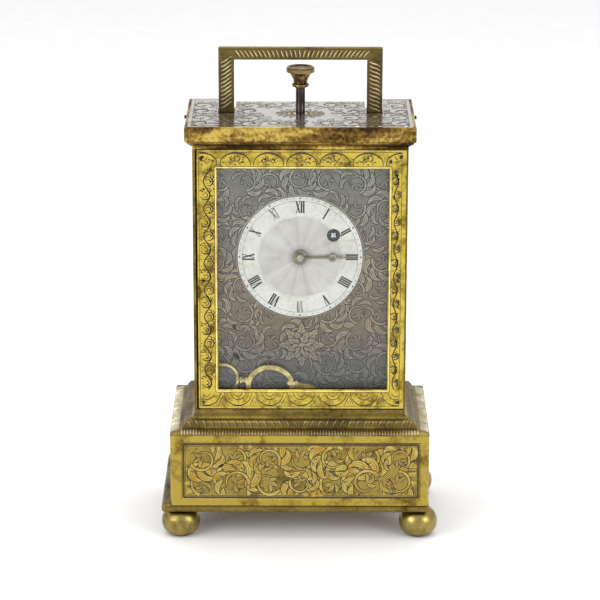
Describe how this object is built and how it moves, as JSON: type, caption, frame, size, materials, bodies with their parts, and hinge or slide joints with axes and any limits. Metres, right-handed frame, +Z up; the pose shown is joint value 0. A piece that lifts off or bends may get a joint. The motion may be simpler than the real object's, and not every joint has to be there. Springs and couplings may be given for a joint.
{
  "type": "carriage clock",
  "caption": "Small carriage clock: gilt brass case on ball feet, engraved plinth and cornice, glazed doors, folding handle, top plunger and wound spring movement.",
  "frame": {"origin": "middle of the footprint, on the surface that the four feet stand on", "axes": "+Z up, dial faces -Y, +X to the right as seen from the front"},
  "size_m": [0.0948, 0.0522, 0.1662],
  "materials": {
    "gilt_brass": "polished, lightly tarnished and engraved",
    "top_gilt": "bright, engraved",
    "mask_metal": "silvered, dulled and engraved",
    "dial_silver": "silvered, engine turned centre",
    "hand_brass": "dark bronzed",
    "movement_brass": "satin",
    "polished_steel": "polished",
    "blued_steel": "tempered blue",
    "pane_glass": "clear, bevelled"
  },
  "bodies": {
    "case": {"foot_front_left": "gilt_brass", "foot_front_right": "gilt_brass", "foot_rear_left": "gilt_brass", "foot_rear_right": "gilt_brass", "bottom_plate": "gilt_brass", "plinth": "gilt_brass", "plinth_moulding": "gilt_brass", "left_side_panel": "gilt_brass", "right_side_panel": "gilt_brass", "cornice": "gilt_brass", "top_plate": "top_gilt", "case_screws": "polished_steel", "handle_pivot_pins": "polished_steel", "repeat_sleeve": "movement_brass", "repeat_spring": "polished_steel", "mask_plate": "mask_metal", "mask_posts": "movement_brass", "dial": "dial_silver", "front_plate": "movement_brass", "back_plate": "movement_brass", "movement_pillars": "movement_brass", "movement_screws": "polished_steel", "movement_studs": "polished_steel", "click_spring": "blued_steel", "balance_cock": "movement_brass", "gong": "blued_steel", "gong_block": "movement_brass", "winding_key": "movement_brass", "key_ring": "movement_brass"},
    "carrying_handle": {"handle": "gilt_brass"},
    "front_door": {"front_door_frame": "gilt_brass", "front_glass": "pane_glass", "front_glass_retainer": "gilt_brass", "front_door_pins": "polished_steel"},
    "rear_door": {"rear_door_frame": "gilt_brass", "rear_glass": "pane_glass", "rear_glass_retainer": "gilt_brass", "rear_door_pins": "polished_steel", "rear_door_knob": "gilt_brass"},
    "plunger": {"repeat_stem": "polished_steel", "repeat_knob": "gilt_brass"},
    "lever": {"repeat_lever": "polished_steel"},
    "gong_hammer": {"hammer": "polished_steel"},
    "minute_hand_group": {"cannon_pinion": "polished_steel", "minute_hand": "hand_brass"},
    "minute_wheel_group": {"minute_wheel": "movement_brass"},
    "hour_hand_group": {"hour_wheel": "movement_brass", "hour_hand": "hand_brass"},
    "barrel_group": {"barrel": "movement_brass", "barrel_cap": "movement_brass", "mainspring": "blued_steel"},
    "winding_arbor": {"barrel_arbor": "polished_steel", "ratchet_wheel": "polished_steel"},
    "click_group": {"click": "polished_steel"},
    "centre_group": {"centre_wheel": "movement_brass"},
    "third_group": {"third_wheel": "movement_brass"},
    "fourth_group": {"fourth_wheel": "movement_brass"},
    "escape_group": {"escape_wheel": "movement_brass"},
    "balance_group": {"balance_wheel": "movement_brass", "hairspring": "blued_steel"}
  },
  "joints": [
    {"name": "handle_fold", "type": "hinge", "parent": "case", "child": "carrying_handle", "pos_m": [0, 0.00095, 0.1422], "axis": [1, 0, 0], "range_deg": [-90, 0]},
    {"name": "front_door_swing", "type": "hinge", "parent": "case", "child": "front_door", "pos_m": [-0.03352, -0.01808, 0.0905], "axis": [0, 0, 1], "range_deg": [-95, 0]},
    {"name": "rear_door_swing", "type": "hinge", "parent": "case", "child": "rear_door", "pos_m": [-0.03352, 0.01808, 0.0905], "axis": [0, 0, 1], "range_deg": [0, 95]},
    {"name": "repeat_press", "type": "slide", "parent": "case", "child": "plunger", "axis": [0, 0, 1], "range_m": [-0.007, 0], "stiffness_N_per_m": 60, "springref_m": 0.003, "deforming": ["repeat_spring"]},
    {"name": "repeat_lever_turn", "type": "hinge", "parent": "case", "child": "lever", "pos_m": [0.016, -0.0008, 0.1245], "axis": [0, 1, 0], "range_deg": [-25.5, 0.5]},
    {"name": "hammer_lift", "type": "hinge", "parent": "case", "child": "gong_hammer", "pos_m": [0.0195, 0.011, 0.058], "axis": [0, 1, 0], "range_deg": [0, 12], "stiffness_Nm_per_rad": 0.004, "springref_deg": -8.59},
    {"name": "minute_hand_turn", "type": "hinge", "parent": "case", "child": "minute_hand_group", "pos_m": [0, -0.01, 0.0978], "axis": [0, 1, 0], "continuous": true},
    {"name": "minute_wheel_turn", "type": "hinge", "parent": "case", "child": "minute_wheel_group", "pos_m": [0, -0.01, 0.0906], "axis": [0, 1, 0], "continuous": true},
    {"name": "hour_hand_turn", "type": "hinge", "parent": "case", "child": "hour_hand_group", "pos_m": [0, -0.012, 0.0978], "axis": [0, 1, 0], "continuous": true},
    {"name": "fourth_wheel_turn", "type": "hinge", "parent": "case", "child": "fourth_group", "pos_m": [-0.01392, -0.004, 0.08876], "axis": [0, 1, 0], "continuous": true},
    {"name": "third_wheel_turn", "type": "hinge", "parent": "case", "child": "third_group", "pos_m": [-0.00625, 0, 0.09155], "axis": [0, 1, 0], "continuous": true},
    {"name": "centre_wheel_turn", "type": "hinge", "parent": "case", "child": "centre_group", "pos_m": [0, 0, 0.0978], "axis": [0, 1, 0], "continuous": true},
    {"name": "barrel_turn", "type": "hinge", "parent": "case", "child": "barrel_group", "pos_m": [0.0112, -0.003, 0.1054], "axis": [0, 1, 0], "continuous": true},
    {"name": "escape_wheel_turn", "type": "hinge", "parent": "case", "child": "escape_group", "pos_m": [-0.01529, 0.004, 0.09656], "axis": [0, 1, 0], "continuous": true},
    {"name": "balance_swing", "type": "hinge", "parent": "case", "child": "balance_group", "pos_m": [-0.01439, 0.01, 0.10168], "axis": [0, 1, 0], "range_deg": [-135, 135], "stiffness_Nm_per_rad": 0.000012},
    {"name": "winding_turn", "type": "hinge", "parent": "case", "child": "winding_arbor", "pos_m": [0.0112, -0.01, 0.1054], "axis": [0, 1, 0], "range_deg": [0, 1440]},
    {"name": "click_lift", "type": "hinge", "parent": "case", "child": "click_group", "pos_m": [0.01458, -0.0098, 0.11176], "axis": [0, 1, 0], "range_deg": [-12, 0], "stiffness_Nm_per_rad": 0.0005, "springref_deg": 11.46}
  ],
  "couplings": [
    {"joint": "repeat_lever_turn", "follows": "repeat_press", "rad_per_m": 62.5},
    {"joint": "minute_wheel_turn", "follows": "minute_hand_turn", "ratio": -0.33333},
    {"joint": "hour_hand_turn", "follows": "minute_hand_turn", "ratio": 0.083333},
    {"joint": "third_wheel_turn", "follows": "fourth_wheel_turn", "ratio": -0.13333},
    {"joint": "centre_wheel_turn", "follows": "fourth_wheel_turn", "ratio": 0.017778},
    {"joint": "barrel_turn", "follows": "fourth_wheel_turn", "ratio": -0.0027778},
    {"joint": "escape_wheel_turn", "follows": "fourth_wheel_turn", "ratio": -8}
  ]
}
